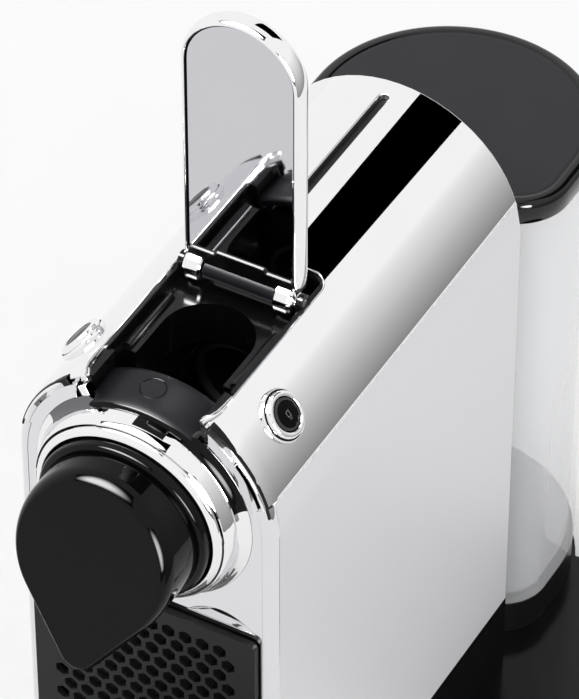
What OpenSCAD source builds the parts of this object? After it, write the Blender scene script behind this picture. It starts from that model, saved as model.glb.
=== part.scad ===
// Pod coffee machine: an arched chrome body with a lift-up lever over the capsule bay,
// a round nozzle head at the front, a clear water tank behind and a drawer below.
// Millimetres, +Z up, the front faces -Y. The origin is on the table under the body's middle.

/* [Body] */
// Radius of the arched top, and half the body's width
body_r = 52; // [51.5:0.1:52.5]
// Length of the body from its front face to its rear face
body_len = 187; // [186:0.5:188]
// Height of the arch's axis above the table
axis_z = 231; // [230.5:0.1:231.5]
// Wall thickness of the covers
wall = 2.5; // [2.3:0.1:2.6]
// Height of the lower edge of the chrome covers
skirt_z = 40; // [39.5:0.1:40.5]
// Angle above the horizontal at which the top cover meets the side covers
seam_angle = 16.5; // [16:0.1:17]

/* [Capsule bay] */
// Half the width of the recess in the top
bay_half = 26.3; // [26.2:0.1:26.5]
// Length of the recess from the front face
bay_len = 85.5; // [85:0.1:86]
// Half the width of the hole that a capsule drops through
hole_half = 17.5; // [17:0.1:18]
// Half the width of the notches that pass the capsule's rim
notch_half = 22.8; // [22.5:0.1:23]

/* [Lever] */
// Half the width of the lever
lever_half = 23.8; // [23.5:0.1:24]
// Height of the lever's top when it stands open
lever_top = 393; // [391:0.5:394]
// Thickness of the lever
lever_t = 8.5; // [8:0.1:8.5]

/* [Nozzle] */
// Radius of the round nozzle head
head_r = 31; // [30.5:0.1:31.5]
// Outer radius of the chrome ring behind the head
ring_r = 40; // [39.5:0.1:40.5]

/* [Buttons] */
// Angle of each button above the horizontal, round the arch
button_angle = 40; // [39:0.5:41]
// Radius of a button's cap
button_r = 6; // [5.9:0.1:6.1]

/* [Water tank] */
// Radius of the round rear end of the tank
tank_r = 55; // [54.5:0.1:55.5]
// Height of the tank's top edge
tank_top = 230; // [229:0.5:231]
// Wall thickness of the tank
tank_wall = 2.5; // [2.2:0.1:2.8]

/* [Drawer] */
// Half the width of the cup support
cup_half = 46; // [45.8:0.1:46]
// Height of the cup support when it is folded up
cup_h = 90; // [89.5:0.1:90]
// Width of a hexagonal hole across its flats
hex_w = 5.2; // [5:0.1:5.4]
// Distance between hexagonal holes in a row
hex_pitch = 7; // [6.8:0.1:7.2]

/* [Base] */
// Thickness of the base plate
plate_t = 4; // [4:0.1:4.2]
// Distance of the side platform's round end from the body's middle
side_x = 120; // [116:1:124]
// Radius of the side platform's round end
side_r = 56; // [54:0.5:56]

/* [Hidden] */
$fn = 64;
gap = 0.3;
foot_h = 2;
deck_z = foot_h + plate_t;
rear_y = 86;
front_y = rear_y - body_len;
inner_r = body_r - wall;
seam_z = axis_z + body_r * sin(seam_angle);
top_z = axis_z + body_r;
corner_r = 4.5;
bay_rear = front_y + bay_len;
bay_floor = 270;
floor_t = 2.5;
hole_cy = -56;
notch_y0 = -81.5;
notch_y1 = -75;
saddle_half = bay_half - gap - 4.2;
saddle_low = 33;
hinge_y = -30.2;
hinge_z = 276.5;
pin_r = 1.5;
pin_hole_r = 1.55;
knuckle_r = 6;
knuckle_x0 = 14.8;
knuckle_x1 = 22.8;
lever_y0 = -32.2;
lever_z0 = 280.8;
lever_rim = 2.2;
slot_w = 4;
slot_x = -1;
slot_y0 = -9;
slot_y1 = 76;
button_y = -73.2;
bezel_r = 9.8;
bezel_top = 55.5;
ring_y0 = -115;
ring_y1 = -107;
head_y = -139;
head_tilt = 15.5;
head_back = -115.3;
tip_z = 196.5;
tip_r = 9.5;
spout_z = 183;
elbow_z = 217;
spout_y = -134;
opening_half = 46.4;
opening_top = 181;
tank_cy = 129;
tank_front = 96;
tank_corner = 20;
dock_top = 20.7;
tank_z0 = 21;
valve_y = 114;
chassis_y = -21;
deck_top = 184.5;
tray_front = -186;
tray_top = 36;
tray_split = -104;
hinge_low_y = -103.8;
hinge_low_z = 90;
plate_front = -183;
plate_half = 50;
side_y = 96;
port_z = 14;

// Outlines and placing

module along_y(y0, y1) {
    translate([0, y1, 0]) rotate([90, 0, 0]) linear_extrude(y1 - y0) children();
}

module along_x(x0, x1) {
    translate([x0, 0, 0]) rotate([90, 0, 90]) linear_extrude(x1 - x0) children();
}

module both_sides() {
    children();
    mirror([1, 0, 0]) children();
}

// The body seen from the front: a half disc on a block that goes down to low_z
module arch(r, low_z) {
    translate([0, axis_z]) circle(r);
    translate([-r, low_z]) square([2 * r, axis_z - low_z]);
}

module band(x, z0, z1) {
    translate([-x, z0]) square([2 * x, z1 - z0]);
}

module disc_y(r, y0, y1) {
    along_y(y0, y1) translate([0, axis_z]) circle(r);
}

module at_button(side) {
    translate([0, button_y, axis_z]) rotate([0, side * (90 - button_angle), 0]) children();
}

module at_hinge(x0, x1) {
    translate([x0, hinge_y, hinge_z]) rotate([0, 90, 0]) linear_extrude(x1 - x0) children();
}

module at_low_hinge(x0, x1) {
    translate([x0, hinge_low_y, hinge_low_z]) rotate([0, 90, 0]) linear_extrude(x1 - x0) children();
}

// Plan of the tank: a round rear end and rounded front corners
module tank_plan(inset) {
    r = tank_r - inset;
    c = tank_corner - inset;
    cx = tank_r - tank_corner;
    cy = tank_front + tank_corner;
    translate([0, tank_cy]) intersection() {
        circle(r);
        translate([-r, cy - tank_cy]) square([2 * r, r + tank_cy - cy]);
    }
    translate([-r, cy]) square([2 * r, tank_cy - cy]);
    translate([-cx, tank_front + inset]) square([2 * cx, tank_cy - tank_front - inset]);
    for (side = [-1, 1]) translate([side * cx, cy]) circle(c);
}

// Plan of the capsule hole, with notches at its front end for the capsule's rim
module capsule_plan(extra) {
    translate([0, hole_cy]) circle(hole_half + extra);
    translate([-hole_half - extra, notch_y0 - extra])
        square([2 * (hole_half + extra), hole_cy - notch_y0 + extra]);
    translate([-notch_half - extra, notch_y0 - extra])
        square([2 * (notch_half + extra), notch_y1 - notch_y0 + 2 * extra]);
}

// Front view of the nozzle head: a circle drawn down to a small round tip
module drop(inset) {
    r = head_r - inset;
    t = max(tip_r - inset, 1);
    drop_len = axis_z - tip_z;
    lean = asin((r - t) / drop_len);
    translate([0, axis_z]) circle(r);
    translate([0, tip_z]) circle(t);
    polygon([
        [r * cos(lean), axis_z - r * sin(lean)], [t * cos(lean), tip_z - t * sin(lean)],
        [-t * cos(lean), tip_z - t * sin(lean)], [-r * cos(lean), axis_z - r * sin(lean)]
    ]);
}

// Front view of the lever's upper part, a tongue with a round end
module tongue(inset, z0) {
    r = lever_half - inset;
    z1 = lever_top - lever_half;
    translate([0, z1]) circle(r);
    translate([-r, z0]) square([2 * r, z1 - z0]);
}

module hex_field(half, z0, z1) {
    row_h = hex_pitch * sin(60);
    rows = floor((z1 - z0 - hex_w) / row_h);
    first = (z0 + z1 - rows * row_h) / 2;
    columns = floor((2 * half - hex_w) / hex_pitch);
    for (row = [0 : rows]) {
        count = columns - row % 2;
        for (i = [0 : count])
            translate([(i - count / 2) * hex_pitch, first + row * row_h])
                rotate(30) circle(r = hex_w / 2 / cos(30), $fn = 6);
    }
}

// A tube of radius r along straight runs between points
function unit(v) = v / norm(v);
function run_dir(p, i) = unit(p[min(i + 1, len(p) - 1)] - p[max(i - 1, 0)]);
function side_dir(d) = unit(cross(d, abs(d[2]) > 0.9 ? [1, 0, 0] : [0, 0, 1]));
module tube_along(p, r) {
    sides = 8;
    last = len(p) - 1;
    rings = [for (i = [0 : last]) let (d = run_dir(p, i), u = side_dir(d), v = cross(d, u))
        for (k = [0 : sides - 1]) p[i] + r * (cos(k * 45) * u + sin(k * 45) * v)];
    skin = [for (i = [0 : last - 1]) for (k = [0 : sides - 1]) let (n = (k + 1) % sides)
        [i * sides + k, i * sides + n, (i + 1) * sides + n, (i + 1) * sides + k]];
    start = [for (k = [sides - 1 : -1 : 0]) k];
    end = [for (k = [0 : sides - 1]) last * sides + k];
    polyhedron(rings, concat([start], skin, [end]), convexity = 6);
}
// Points on a smooth curve through hand-chosen points
function bend(a, b, c, d, t) = 0.5 * (2 * b + (c - a) * t
    + (2 * a - 5 * b + 4 * c - d) * t * t + (3 * b - a - 3 * c + d) * t * t * t);
function smooth(p, steps) = concat([for (i = [0 : len(p) - 2]) for (s = [0 : steps - 1])
    bend(p[max(i - 1, 0)], p[i], p[i + 1], p[min(i + 2, len(p) - 1)], s / steps)], [p[len(p) - 1]]);

// Base and covers

module plate_plan(inset) {
    translate([inset - plate_half, plate_front + inset])
        square([2 * (plate_half - inset), tank_cy - plate_front - inset]);
    translate([0, tank_cy]) circle(tank_r + 1 - inset);
    translate([plate_half - 10, side_y - side_r + inset])
        square([side_x - plate_half + 10, 2 * (side_r - inset)]);
    translate([side_x, side_y]) circle(side_r - inset);
}

module base_plate() {
    color("#161618") translate([0, 0, foot_h]) linear_extrude(plate_t) plate_plan(0);
}

module feet() {
    strip = [84, 10];
    color("#202020") linear_extrude(foot_h) {
        for (y = [-150, 0, 150]) translate([0, y]) square(strip, center = true);
        for (y = [-24, 24]) translate([side_x + 16, side_y + y]) circle(9);
    }
}

module plinth() {
    shell_t = 3;
    r = corner_r;
    color("#141416") difference() {
        translate([0, 0, deck_z]) linear_extrude(skirt_z - deck_z) difference() {
            union() {
                translate([-body_r, front_y + r]) square([2 * body_r, body_len - r]);
                translate([r - body_r, front_y]) square([2 * (body_r - r), r]);
                for (side = [-1, 1]) translate([side * (body_r - r), front_y + r]) circle(r);
            }
            translate([shell_t - body_r, front_y - 1])
                square([2 * (body_r - shell_t), body_len - shell_t + 1]);
        }
        translate([-body_r - 1, 60, 22]) rotate([0, 90, 0]) cylinder(r = 5.6, h = shell_t + 2);
        translate([0, rear_y + 1, port_z]) rotate([90, 0, 0]) cylinder(r = 5, h = shell_t + 2);
    }
}

module side_panel() {
    along_y(front_y + corner_r, rear_y) intersection() {
        difference() {
            arch(body_r, skirt_z);
            arch(inner_r, skirt_z - 1);
        }
        translate([0, skirt_z]) square([body_r + 1, seam_z - skirt_z - 0.1]);
    }
}

module side_panel_left() {
    color("#d8d8dc") mirror([1, 0, 0]) side_panel();
}

module side_panel_right() {
    color("#d8d8dc") side_panel();
}

module top_slot(extra, z0, z1) {
    translate([slot_x, 0, z0]) linear_extrude(z1 - z0) {
        translate([-slot_w / 2 - extra, slot_y0]) square([slot_w + 2 * extra, slot_y1 - slot_y0]);
        translate([0, slot_y1]) circle(slot_w / 2 + extra);
    }
}

module top_shell() {
    color("#eeeef0") difference() {
        along_y(front_y, rear_y) difference() {
            translate([0, axis_z]) circle(body_r);
            translate([0, axis_z]) circle(inner_r);
            band(body_r + 1, axis_z - body_r - 1, seam_z + 0.1);
        }
        translate([-bay_half, front_y - 1, axis_z + 20]) cube([2 * bay_half, bay_len + 1, 40]);
        top_slot(0, axis_z + 30, top_z + 1);
        for (side = [-1, 1]) at_button(side) translate([0, 0, 44]) cylinder(r = 8.5, h = 12);
    }
}

module front_fascia() {
    face_top = seam_z - 0.3;
    color("#e8e8ea") difference() {
        union() {
            along_y(front_y, front_y + wall) difference() {
                union() {
                    translate([0, axis_z]) circle(inner_r - gap);
                    band(body_r - corner_r, skirt_z + 0.1, axis_z);
                }
                band(bay_half - 0.1, axis_z + 30, top_z);
            }
            intersection() {
                along_y(front_y, front_y + corner_r) arch(body_r, skirt_z);
                both_sides() translate([body_r - corner_r, front_y + corner_r, skirt_z + 0.1])
                    linear_extrude(face_top - skirt_z) difference() {
                        circle(corner_r);
                        circle(corner_r - wall + 0.2);
                        translate([-10, -10]) square([10, 20]);
                        translate([-10, -0.1]) square([20, 10]);
                    }
            }
        }
        disc_y(39.2, front_y - 1, front_y + 10);
        along_y(front_y - 1, front_y + 10) {
            band(opening_half - 3, skirt_z - 1, opening_top);
            band(opening_half, skirt_z - 1, opening_top - 3);
            for (side = [-1, 1]) translate([side * (opening_half - 3), opening_top - 3]) circle(3);
        }
        // shallow crescent that gives a finger a hold behind the cup support
        translate([18, front_y - 17.2, opening_top + 2]) cylinder(r = 18.4, h = 6);
    }
}

module rear_cover() {
    hole_x = 38;
    color("#1c1c1e") difference() {
        along_y(rear_y - wall, rear_y) arch(inner_r - gap, skirt_z + 0.3);
        for (x = [-hole_x, hole_x], z = [60, 225])
            translate([x, rear_y + 1, z]) rotate([90, 0, 0]) cylinder(r = 1.8, h = wall + 2);
        for (i = [0 : 5]) translate([-20, rear_y - wall - 1, 120 + i * 9]) cube([40, wall + 2, 3]);
    }
}

module cover_screws() {
    color("#808084") for (x = [-38, 38], z = [60, 225]) translate([x, rear_y, z]) {
        rotate([-90, 0, 0]) difference() {
            cylinder(r = 3, h = 1.6);
            translate([0, 0, 0.8]) cylinder(r = 1.4, h = 2, $fn = 6);
        }
        rotate([90, 0, 0]) cylinder(r = 1.5, h = 8);
    }
}

module chassis() {
    color("#2a2a2c") difference() {
        union() {
            translate([-49, front_y + 4, deck_top]) cube([98, chassis_y + 3 - front_y - 4, 2.5]);
            translate([-48.6, chassis_y, deck_z + 0.2]) cube([97.2, 3, deck_top - deck_z]);
            // frame supports
            both_sides() translate([20.6, front_y + 8, deck_top + 2.4]) cube([3, 70, 17.9]);
            // pump cradle
            translate([-40, chassis_y + 2, 49.6]) cube([40, 80, 3]);
        }
        translate([-18.5, -82, deck_top - 1]) cube([37, 44, 6]);
    }
}

// Capsule bay

module bay_liner() {
    side_t = 1.8;
    half = bay_half - gap;
    tub_len = bay_rear - gap - notch_y0;
    rail_z = 275.4;
    cheek_h = 6.8;
    chute_z = 252;
    color("#1a1a1c") difference() {
        union() {
            // tub
            intersection() {
                difference() {
                    translate([-half, notch_y0, bay_floor - floor_t]) cube([2 * half, tub_len, 20]);
                    translate([side_t - half, notch_y0 - 1, bay_floor])
                        cube([2 * (half - side_t), tub_len - 1, 20]);
                    translate([-half - 1, notch_y0 - 1, rail_z])
                        cube([2 * half + 2, tub_len - 2, 20]);
                }
                along_y(front_y, rear_y) arch(body_r - 1.2, 0);
            }
            // front cheeks beside the saddle
            both_sides() translate([half - 4, front_y + 3, bay_floor - floor_t])
                cube([4, notch_y0 - front_y - 3, cheek_h]);
            // chute under the hole
            translate([0, 0, chute_z]) linear_extrude(bay_floor - chute_z) difference() {
                capsule_plan(2);
                capsule_plan(0);
            }
            // long round rails that guide the lever
            both_sides() along_y(-74, -44) translate([21.6, bay_floor]) circle(2);
            // ears that hold the hinge pin
            both_sides() at_hinge(23, 25) circle(3.2);
            both_sides() translate([23, hinge_y - 3.2, bay_floor - 1])
                cube([2, 6.4, hinge_z - bay_floor + 1]);
        }
        translate([0, 0, 240]) linear_extrude(40) capsule_plan(0);
        at_hinge(-30, 30) circle(pin_hole_r);
        // room for the saddle's rear edge in the chute's front wall
        translate([-saddle_half - 0.2, notch_y0 - 3, axis_z + saddle_low - 0.2])
            cube([2 * saddle_half + 0.4, 3, 8]);
    }
}

module front_saddle() {
    half = saddle_half;
    color("#3b3840") intersection() {
        union() {
            intersection() {
                translate([0, front_y + 0.5, axis_z]) rotate([-90, 0, 0])
                    cylinder(r1 = 43, r2 = 40.5, h = notch_y0 - front_y - 1);
                translate([-half, front_y, axis_z]) cube([2 * half, notch_y0 - 0.4 - front_y, 60]);
            }
            translate([0, -91, axis_z + 30]) cylinder(r = 6, h = 12.6);
        }
        difference() {
            translate([-half, front_y + 0.5, axis_z + saddle_low])
                cube([2 * half, notch_y0 - 0.4 - front_y - 0.5, 30]);
            disc_y(39.4, front_y, front_y + wall + 0.5);
        }
    }
}

module slot_insert() {
    color("#101012") intersection() {
        difference() {
            top_slot(1.5, top_z - 6, top_z - 2);
            along_y(slot_y0 - 5, slot_y1 + 5) difference() {
                translate([0, axis_z]) circle(body_r + 5);
                translate([0, axis_z]) circle(inner_r - 0.1);
            }
        }
        translate([-10, slot_y0 + 1, 0]) cube([20, 200, 400]);
    }
}

// Nozzle

module neck_sleeve() {
    color("#e8e8ea") difference() {
        union() {
            disc_y(38.8, ring_y1 + 0.2, front_y + 2.8);
            intersection() {
                disc_y(41.5, front_y - 4, front_y - 0.2);
                along_y(front_y - 4, front_y) translate([-60, axis_z - 5]) square([120, 100]);
            }
        }
        disc_y(35.5, ring_y1 - 1, front_y + 4);
    }
}

module neck_ring() {
    color("#f0f0f2") translate([0, ring_y1, axis_z]) rotate([90, 0, 0]) rotate_extrude()
        difference() {
            translate([34.4, 0]) square([ring_r - 34.4, ring_y1 - ring_y0]);
            translate([ring_r - 2, ring_y1 - ring_y0 - 2]) difference() {
                square([3, 3]);
                circle(2);
            }
        }
}

module nozzle_seal() {
    color("#18181a") translate([0, ring_y1 + 4, axis_z]) rotate([90, 0, 0]) rotate_extrude() {
        translate([31.2, 0]) square([2.9, 14]);
        translate([32.6, 14]) circle(1.4);
    }
}

module nozzle_head() {
    skin = 3;
    drop_back = -119.4;
    color("#0c0c0e") difference() {
        intersection() {
            union() {
                along_y(-160, drop_back) drop(0);
                disc_y(head_r, -130, head_back);
            }
            translate([0, head_y, axis_z]) rotate([-head_tilt, 0, 0])
                translate([-60, 0, -80]) cube([120, 80, 160]);
        }
        intersection() {
            union() {
                along_y(-160, drop_back - skin) drop(skin);
                disc_y(head_r - skin, -130, head_back + 1);
            }
            translate([0, head_y, axis_z]) rotate([-head_tilt, 0, 0])
                translate([-60, skin, -80]) cube([120, 80, 160]);
        }
        translate([0, spout_y, spout_z - 7]) cylinder(r = 5.2, h = 18);
    }
}

module coffee_spout() {
    color("#202022") difference() {
        union() {
            translate([0, spout_y, spout_z]) cylinder(r = 4.8, h = elbow_z - spout_z);
            along_y(spout_y, -88.2) translate([0, elbow_z]) circle(4.8);
        }
        translate([0, spout_y, spout_z - 1]) cylinder(r = 3.2, h = elbow_z - spout_z + 2);
        along_y(spout_y, -88) translate([0, elbow_z]) circle(3.2);
    }
}

// Buttons

module bezel() {
    difference() {
        union() {
            difference() {
                translate([0, 0, 48]) cylinder(r = bezel_r, h = bezel_top - 49);
                translate([0, 30, 0]) rotate([90, 0, 0]) cylinder(r = body_r + 0.05, h = 60);
            }
            translate([0, 0, 48]) cylinder(r = bezel_r - 1.6, h = bezel_top - 48);
            translate([0, 0, 45]) cylinder(r = 8.3, h = 5);
        }
        translate([0, 0, 44]) cylinder(r = button_r + gap, h = 20);
    }
}

module button_bezels() {
    color("#e6e6e8") for (side = [-1, 1]) at_button(side) difference() {
        bezel();
        // the flange's underside follows the arch outside the hole
        difference() {
            translate([0, 0, 40]) cylinder(r = 14, h = 14);
            translate([0, 0, 39]) cylinder(r = 8.3, h = 16);
            translate([0, 30, 0]) rotate([90, 0, 0]) difference() {
                cylinder(r = body_r + 6, h = 60);
                translate([0, 0, -1]) cylinder(r = body_r + 0.05, h = 62);
            }
        }
    }
}

module button_cap() {
    difference() {
        union() {
            translate([0, 0, 46]) cylinder(r = button_r, h = bezel_top - 46.6);
            translate([0, 0, 43.2]) cylinder(r = 2, h = 3);
        }
        translate([0, 0, bezel_top - 0.9]) difference() {
            cylinder(r = 4.9, h = 1);
            translate([0, 0, -1]) cylinder(r = 4.6, h = 3);
        }
    }
}

module button_left() {
    color("#101012") at_button(-1) button_cap();
}

module button_right() {
    color("#101012") at_button(1) button_cap();
}

module button_board() {
    color("#2f5d3a") for (side = [-1, 1]) at_button(side) {
        translate([-5, -9, 37.4]) cube([10, 18, 1.6]);
        translate([-3, -3, 39]) cube([6, 6, 2.8]);
    }
}

// Brewing

module brew_frame() {
    side_x0 = 20.6;
    color("#2c2c2e") difference() {
        union() {
            both_sides() translate([side_x0, -92, 205]) cube([3, 122, 44]);
            translate([-23.6, -92, 205]) cube([47.2, 4, 44]);
            translate([-23.6, 26, 205]) cube([47.2, 4, 44]);
        }
        both_sides() translate([side_x0 - 1, -49, axis_z - 3]) cube([5, 44, 6]);
        disc_y(12, -93, -87);
        disc_y(5.2, 25, 31);
        along_y(-93, -87) translate([0, elbow_z]) circle(5);
    }
}

module pierce_plate() {
    color("#b8b8bc") difference() {
        union() {
            disc_y(18, -87.9, -85.9);
            for (x = [-9 : 4.5 : 9], z = [-9 : 4.5 : 9])
                translate([x - 1, -86, axis_z + z - 1]) cube([2, 1.6, 2]);
        }
        for (x = [-6.75 : 4.5 : 6.75], z = [-6.75 : 4.5 : 6.75])
            translate([x, -84, axis_z + z]) rotate([90, 0, 0]) cylinder(r = 0.7, h = 6);
    }
}

module brew_gasket() {
    color("#7a2f28") along_y(-87.9, -85.2) translate([0, axis_z]) difference() {
        circle(20);
        circle(18.2);
    }
}

module brew_cage() {
    color("#34343a") difference() {
        union() {
            disc_y(18.5, -34, 0);
            both_sides() translate([16, -20, axis_z - 2.5]) cube([7.2, 12, 5]);
            disc_y(4.8, 0, 18);
        }
        disc_y(15.2, -35, -5);
        disc_y(1.6, -6, 19);
        along_y(-35, -31.5) translate([0, axis_z]) circle(17);
    }
}

module cage_gasket() {
    color("#3a3a3c") along_y(-34.4, -31.6) translate([0, axis_z]) difference() {
        circle(16.9);
        circle(15.3);
    }
}

module pump() {
    color("#8c8c90") translate([-20, 0, 68]) {
        rotate([-90, 0, 0]) cylinder(r = 11, h = 62);
        translate([-14, 14, -14]) cube([28, 30, 28]);
        translate([0, 62, 0]) rotate([-90, 0, 0]) cylinder(r = 4, h = 6);
        translate([0, -6, 0]) rotate([-90, 0, 0]) cylinder(r = 4, h = 6);
    }
}

module pump_mounts() {
    color("#222224") for (y = [2, 52]) translate([-20, y, 68]) rotate([-90, 0, 0]) difference() {
        cylinder(r = 15, h = 6);
        translate([0, 0, -1]) cylinder(r = 11.1, h = 8);
    }
}

module thermoblock() {
    color("#a9abae") difference() {
        union() {
            translate([-21, 36, 196]) cube([42, 42, 46]);
            for (i = [0 : 3]) translate([-23, 36, 200 + i * 11]) cube([46, 42, 4]);
        }
        translate([0, 35, axis_z]) rotate([-90, 0, 0]) cylinder(r = 3, h = 8);
        translate([12, 57, 195]) cylinder(r = 3, h = 8);
    }
}

module flow_meter() {
    color("#e2e2dc") translate([24, 40, deck_z + 20]) {
        cylinder(r = 12, h = 14);
        translate([0, 0, 14]) cylinder(r = 3.4, h = 8);
        rotate([-90, 0, 0]) translate([0, -6, 0]) cylinder(r = 3.4, h = 18);
    }
}

module circuit_board() {
    color("#2f5d3a") {
        translate([44, -8, 74]) cube([1.6, 78, 96]);
        for (z = [84, 104]) translate([44.4, 6, z]) rotate([0, -90, 0]) cylinder(r = 6, h = 14);
        translate([30, 30, 84]) cube([14.4, 18, 24]);
        translate([34, 54, 120]) cube([10.4, 12, 16]);
        translate([40, 4, 130]) cube([4.4, 30, 20]);
    }
}

// Routes of the hoses
suction_points = [
    [0, 81.6, 14], [1, 77, 14.5], [6, 71, 17], [15, 67, 24], [22, 65, 30], [24, 62, 32], [24, 58.2, 32]
];
meter_points = [
    [24, 40, 48.2], [24, 40, 53], [20, 30, 58], [4, 4, 58], [-6, -9, 60], [-14, -14, 64],
    [-19, -13, 67.5], [-20, -9, 68], [-20, -6.2, 68]
];
pressure_points = [
    [-20, 68.2, 68], [-20, 74, 69], [-17, 79, 78], [-4, 79.5, 110], [8, 78, 150], [12, 70, 178],
    [12, 60, 189], [12, 57, 194.8]
];

module suction_hose() {
    color("#c8c8c4") {
        tube_along(smooth(suction_points, 3), 2.6);
        tube_along(smooth(meter_points, 3), 2.6);
    }
}

module pressure_hose() {
    color("#b0b0ac") tube_along(smooth(pressure_points, 3), 2.6);
}

// Water tank

module dock_base() {
    color("#121214") difference() {
        union() {
            translate([0, 0, deck_z]) linear_extrude(dock_top - deck_z) difference() {
                tank_plan(0.6);
                tank_plan(3.6);
            }
            translate([0, 0, deck_z]) linear_extrude(3) tank_plan(1);
            translate([0, valve_y, deck_z + 2]) cylinder(r = 12, h = 8);
            translate([-20, rear_y + 0.2, deck_z]) cube([40, 12, dock_top - deck_z]);
            translate([0, rear_y + 1, port_z]) rotate([90, 0, 0]) cylinder(r = 3, h = 5.2);
        }
        translate([0, valve_y, deck_z + 5]) cylinder(r = 9.4, h = 10);
    }
    // probe that lifts the valve
    color("#121214") translate([0, valve_y, deck_z + 4]) cylinder(r = 1.6, h = 6.6);
}

module dock_seal() {
    color("#3a3a3c") translate([0, valve_y, deck_z + 5]) difference() {
        cylinder(r = 9.3, h = 4.5);
        translate([0, 0, -1]) cylinder(r = 7.6, h = 7);
    }
}

module tank_shell() {
    floor_h = 3;
    color([0.85, 0.9, 0.95, 0.4]) difference() {
        union() {
            translate([0, 0, tank_z0]) linear_extrude(tank_top - tank_z0) tank_plan(0);
            translate([0, valve_y, tank_z0 - 8]) cylinder(r = 7.2, h = 10);
        }
        translate([0, 0, tank_z0 + floor_h]) linear_extrude(tank_top) tank_plan(tank_wall);
        translate([0, valve_y, tank_z0 - 9]) cylinder(r = 5.6, h = 20);
    }
    // bridge that the valve's spring pushes against
    color([0.85, 0.9, 0.95, 0.4]) {
        both_sides() translate([9.5, valve_y - 2, tank_z0 + 2]) cube([2, 4, 16]);
        translate([-11.5, valve_y - 2, tank_z0 + 16]) cube([23, 4, 2]);
    }
}

module tank_lid() {
    skirt = 1.6;
    color("#2c2b30") difference() {
        translate([0, 0, 225]) linear_extrude(10) tank_plan(-2);
        translate([0, 0, 224]) linear_extrude(tank_top + gap - 224) tank_plan(skirt - 2);
    }
    color("#2c2b30") translate([0, 0, tank_top - 5]) linear_extrude(5 + gap + 0.1) difference() {
        tank_plan(tank_wall + 0.4);
        tank_plan(tank_wall + 1.9);
    }
}

module tank_valve() {
    color("#d8d8d4") translate([0, valve_y, tank_z0 - 4.2]) {
        cylinder(r = 2, h = 14);
        translate([0, 0, 7.4]) cylinder(r = 8, h = 2);
    }
}

module valve_spring() {
    turns = 5;
    spring_r = 4.4;
    low = tank_z0 + 6;
    rise = 9 / (360 * turns);
    coil = [for (a = [0 : 30 : 360 * turns])
        [spring_r * cos(a), valve_y + spring_r * sin(a), low + rise * a]];
    color("#b4b4b8") tube_along(coil, 0.5);
}

// Drawer

module drip_tray() {
    r = 14;
    wall_t = 2;
    color("#161618") difference() {
        union() {
            translate([0, 0, deck_z + 0.5]) linear_extrude(tray_top - deck_z - 0.5) {
                translate([-50, tray_front + r]) square([100, tray_split - tray_front - r]);
                translate([r - 50, tray_front]) square([100 - 2 * r, r]);
                for (side = [-1, 1]) translate([side * (50 - r), tray_front + r]) circle(r);
                translate([-47.5, tray_split - 1]) square([95, -28 - tray_split + 1]);
            }
        }
        translate([0, 0, deck_z + 2.5]) linear_extrude(40) {
            translate([wall_t - 50, tray_front + r]) square([100 - 2 * wall_t, -108 - tray_front - r]);
            translate([r - 50, tray_front + wall_t]) square([100 - 2 * r, r]);
            for (side = [-1, 1]) translate([side * (50 - r), tray_front + r]) circle(r - wall_t);
        }
        translate([-45, -106, deck_z + 2.5]) cube([90, 76, 40]);
    }
}

module drip_grid() {
    r = 14;
    color("#2b2b2c") translate([0, 0, tray_top + 0.2]) linear_extrude(2.4) difference() {
        union() {
            translate([-50, tray_front + r]) square([100, -107 - tray_front - r]);
            translate([r - 50, tray_front]) square([100 - 2 * r, r]);
            for (side = [-1, 1]) translate([side * (50 - r), tray_front + r]) circle(r);
        }
        hex_field(40, tray_front + 8, -113);
    }
}

module capsule_container() {
    half = 44;
    z0 = tray_top + 0.2;
    front = front_y + 0.6;
    color("#1e1e20") difference() {
        union() {
            translate([-half, front + 1, z0]) cube([2 * half, -30 - front - 1, 135]);
            along_y(front, front + 2.4) {
                band(opening_half - 0.6, z0, opening_top - 3.6);
                band(opening_half - 3.6, z0, opening_top - 0.6);
                for (side = [-1, 1])
                    translate([side * (opening_half - 3.6), opening_top - 3.6]) circle(3);
            }
            both_sides() at_low_hinge(40.2, 45) circle(3.2);
            both_sides() translate([40.2, hinge_low_y, hinge_low_z - 3.2]) cube([4.8, 5, 6.4]);
        }
        translate([2 - half, front + 4.4, z0 + 2]) cube([2 * half - 4, -36.4 - front, 160]);
        at_low_hinge(-50, 50) circle(pin_hole_r);
    }
}

module support_pin() {
    color("#a0a0a4") at_low_hinge(-45, 45) circle(pin_r);
}

module cup_support() {
    plate_y = front_y - 3;
    z0 = hinge_low_z + 4.5;
    z1 = hinge_low_z + cup_h;
    color("#2b2b2b") difference() {
        union() {
            along_y(plate_y, front_y - 0.2) difference() {
                union() {
                    band(cup_half, z0, z1 - 3);
                    band(cup_half - 3, z0, z1);
                    for (side = [-1, 1]) translate([side * (cup_half - 3), z1 - 3]) circle(3);
                }
                hex_field(cup_half - 7, z0 + 6, z1 - 5);
            }
            at_low_hinge(-39.8, 39.8) circle(3);
            translate([-39.8, plate_y, hinge_low_z]) cube([79.6, 2.8, 6]);
        }
        at_low_hinge(-50, 50) circle(pin_hole_r);
    }
}

// Lever

module lever_pin() {
    color("#9a9a9e") at_hinge(-25, 25) circle(pin_r);
}

module lever_frame() {
    pocket = 2.4;
    color("#f2f2f4") difference() {
        union() {
            along_y(lever_y0, lever_y0 + lever_t) tongue(0, lever_z0);
            both_sides() at_hinge(knuckle_x0, knuckle_x1) circle(knuckle_r);
            both_sides() translate([knuckle_x0, lever_y0, hinge_z])
                cube([knuckle_x1 - knuckle_x0, 6, lever_z0 - hinge_z + 1]);
        }
        along_y(lever_y0 - 1, lever_y0 + pocket) tongue(lever_rim, lever_z0 + 4);
        at_hinge(-30, 30) circle(pin_hole_r);
    }
}

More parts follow.
